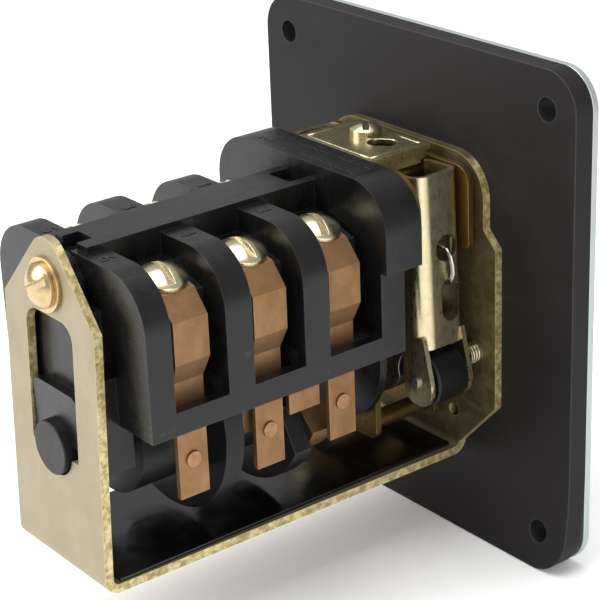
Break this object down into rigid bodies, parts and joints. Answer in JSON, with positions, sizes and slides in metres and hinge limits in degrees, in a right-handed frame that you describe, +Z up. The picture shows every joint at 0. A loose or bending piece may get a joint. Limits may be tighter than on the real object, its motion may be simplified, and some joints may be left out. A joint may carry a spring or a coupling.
{
  "type": "rotary knife blade switch",
  "caption": "Panel-mounted rotary switch with bent frame, roller detent, moulded contact housing, copper finger contacts and knife-blade rotor.",
  "frame": {"origin": "middle of the four panel holes, on the rear face of the backing plate", "axes": "+Y away from the panel along the rotor, +Z up, +X to the left seen from behind"},
  "size_m": [0.1008, 0.1328, 0.1136],
  "materials": {
    "zinc_yellow": "yellow zinc plated sheet steel, faintly mottled",
    "mechanism_gold": "yellow zinc plated sheet, darker in the recess",
    "nickel_sheet": "bright nickel plated sheet, brushed",
    "steel": "ground steel",
    "screw_nickel": "nickel plated screw, warm tint",
    "screw_brass": "yellow plated screw",
    "brass": "plain brass",
    "copper": "copper alloy strip, lightly tarnished",
    "silver_contact": "silver contact face",
    "moulded_black": "moulded phenolic, satin black",
    "rotor_black": "moulded phenolic, satin black",
    "plate_black": "matte black sheet",
    "liner_black": "glossy black insulating sheet",
    "nameplate_metal": "anodised sheet, dark rear face",
    "handle_black": "moulded handle, semi gloss"
  },
  "bodies": {
    "frame": {"arm_pivot_pins": "steel", "backing_plate": "plate_black", "bridge_nut": "steel", "bridge_screw": "screw_nickel", "contact_buttons": "silver_contact", "contact_housing": "moulded_black", "contact_rivets": "copper", "detent_spring": "steel", "frame_liner": "liner_black", "front_bushing": "brass", "front_screws": "screw_nickel", "housing_screws": "steel", "main_frame": "zinc_yellow", "mechanism_front_plate": "mechanism_gold", "mechanism_posts": "mechanism_gold", "mechanism_rear_plate": "mechanism_gold", "nameplate": "nameplate_metal", "rear_insert": "brass", "rear_screw": "screw_brass", "rear_washer": "screw_brass", "stationary_contact_left_1": "copper", "stationary_contact_left_2": "copper", "stationary_contact_left_3": "copper", "stationary_contact_right_1": "copper", "stationary_contact_right_2": "copper", "stationary_contact_right_3": "copper", "stop_pins": "steel", "terminal_inserts": "brass", "terminal_screws": "screw_nickel", "top_bridge": "nickel_sheet"},
    "rotor": {"shaft": "steel", "rotor_disc_1": "rotor_black", "rotor_disc_2": "rotor_black", "axial_bridge": "copper", "rear_journal": "rotor_black", "spacer_sleeve": "steel", "retaining_clip": "steel", "star_wheel": "steel", "stop_lug": "steel", "handle": "handle_black", "handle_screw": "steel", "rotor_hub_1": "rotor_black", "rotor_hub_2": "rotor_black", "rotor_hub_3": "rotor_black", "moving_blade_1": "copper", "moving_blade_2": "copper", "moving_blade_3": "copper"},
    "arm_left": {"detent_arm_left": "nickel_sheet", "roller_pin_left": "steel"},
    "arm_right": {"detent_arm_right": "nickel_sheet", "roller_pin_right": "steel"},
    "roller_left": {"detent_roller_left": "rotor_black"},
    "roller_right": {"detent_roller_right": "rotor_black"}
  },
  "joints": [
    {"name": "rotor_turn", "type": "hinge", "parent": "frame", "child": "rotor", "pos_m": [0, 0.05, -0.0104], "axis": [0, 1, 0], "range_deg": [-45, 45]},
    {"name": "arm_left_swing", "type": "hinge", "parent": "frame", "child": "arm_left", "pos_m": [0.017, 0.0116, 0.0276], "axis": [0, 1, 0], "range_deg": [0, 2.4], "stiffness_Nm_per_rad": 2, "springref_deg": 2.4, "deforming": ["detent_spring"]},
    {"name": "arm_right_swing", "type": "hinge", "parent": "frame", "child": "arm_right", "pos_m": [-0.017, 0.0116, 0.0276], "axis": [0, -1, 0], "range_deg": [0, 2.4], "stiffness_Nm_per_rad": 2, "springref_deg": 2.4},
    {"name": "roller_left_spin", "type": "hinge", "parent": "arm_left", "child": "roller_left", "pos_m": [0.0204, 0.01125, -0.0144], "axis": [0, 1, 0], "continuous": true},
    {"name": "roller_right_spin", "type": "hinge", "parent": "arm_right", "child": "roller_right", "pos_m": [-0.0204, 0.01125, -0.0144], "axis": [0, 1, 0], "continuous": true}
  ]
}
